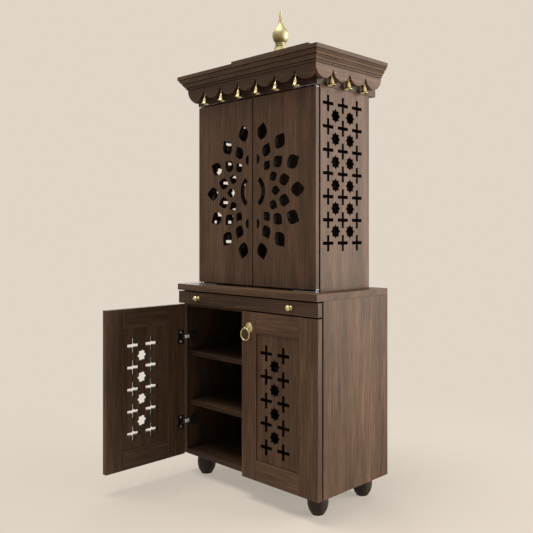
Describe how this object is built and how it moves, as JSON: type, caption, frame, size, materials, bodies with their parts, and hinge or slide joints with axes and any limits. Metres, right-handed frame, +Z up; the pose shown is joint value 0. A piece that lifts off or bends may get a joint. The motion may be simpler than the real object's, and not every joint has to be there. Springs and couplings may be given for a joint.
{
  "type": "floor-standing wooden cabinet shrine (pooja mandir)",
  "caption": "Wooden cabinet shrine: lattice-door cupboard with shelves and a pull-out tray, carved-petal shrine doors above, scalloped crown with brass bells and finial.",
  "frame": {"origin": "on the floor under the middle of the lower cabinet's carcass, halfway across its width and its depth", "axes": "+X to the right seen from the front, +Y to the back, +Z up; the doors face -Y"},
  "size_m": [0.7905, 0.7675, 1.888],
  "materials": {
    "walnut_wood": "satin lacquer over a walnut stain",
    "dark_wood": "near-black stain, satin",
    "brass": "satin",
    "steel": "satin nickel"
  },
  "bodies": {
    "cabinet": {"side_panels": "walnut_wood", "cabinet_bottom": "walnut_wood", "cabinet_back": "walnut_wood", "shelves": "walnut_wood", "tray_divider": "walnut_wood", "counter_top": "walnut_wood", "feet": "dark_wood", "tray_runners": "steel", "hinge_arms": "steel", "shrine_sides": "walnut_wood", "shrine_back": "walnut_wood", "shrine_pivots": "steel", "frieze_front": "walnut_wood", "frieze_sides": "walnut_wood", "frieze_back": "walnut_wood", "shrine_ceiling": "walnut_wood", "valance_front": "walnut_wood", "valance_sides": "walnut_wood", "cornice_front": "walnut_wood", "cornice_sides": "walnut_wood", "crown_boards": "walnut_wood", "crown_platform": "walnut_wood", "finial": "brass", "bells": "brass"},
    "tray": {"drawer_face": "walnut_wood", "drawer_sides": "walnut_wood", "drawer_back": "walnut_wood", "drawer_bottom": "walnut_wood", "drawer_knobs": "brass"},
    "left_door": {"left_door_stiles": "walnut_wood", "left_door_rails": "walnut_wood", "left_door_lattice_panel": "walnut_wood", "left_door_hinge_cups": "steel", "left_door_pull": "brass"},
    "left_pull_ring": {"left_door_pull_ring": "brass"},
    "right_door": {"right_door_stiles": "walnut_wood", "right_door_rails": "walnut_wood", "right_door_lattice_panel": "walnut_wood", "right_door_hinge_cups": "steel", "right_door_pull": "brass"},
    "right_pull_ring": {"right_door_pull_ring": "brass"},
    "shrine_left_leaf": {"shrine_door_left": "walnut_wood", "shrine_door_plates_left": "steel"},
    "shrine_right_leaf": {"shrine_door_right": "walnut_wood", "shrine_door_plates_right": "steel"}
  },
  "joints": [
    {"name": "tray_slide", "type": "slide", "parent": "cabinet", "child": "tray", "axis": [0, -1, 0], "range_m": [0, 0.25]},
    {"name": "left_door_hinge", "type": "hinge", "parent": "cabinet", "child": "left_door", "pos_m": [-0.374, -0.2075, 0.3928], "axis": [0, 0, 1], "range_deg": [-20, 90]},
    {"name": "left_ring_swing", "type": "hinge", "parent": "left_door", "child": "left_pull_ring", "pos_m": [-0.403, -0.5405, 0.6445], "axis": [0, 1, 0], "range_deg": [0, 100]},
    {"name": "right_door_hinge", "type": "hinge", "parent": "cabinet", "child": "right_door", "pos_m": [0.374, -0.2075, 0.3928], "axis": [0, 0, 1], "range_deg": [0, 110]},
    {"name": "right_ring_swing", "type": "hinge", "parent": "right_door", "child": "right_pull_ring", "pos_m": [0.041, -0.2365, 0.6445], "axis": [-1, 0, 0], "range_deg": [0, 100]},
    {"name": "shrine_left_hinge", "type": "hinge", "parent": "cabinet", "child": "shrine_left_leaf", "pos_m": [-0.3125, -0.15, 1.156], "axis": [0, 0, -1], "range_deg": [0, 105]},
    {"name": "shrine_right_hinge", "type": "hinge", "parent": "cabinet", "child": "shrine_right_leaf", "pos_m": [0.3125, -0.15, 1.156], "axis": [0, 0, 1], "range_deg": [0, 105]}
  ]
}
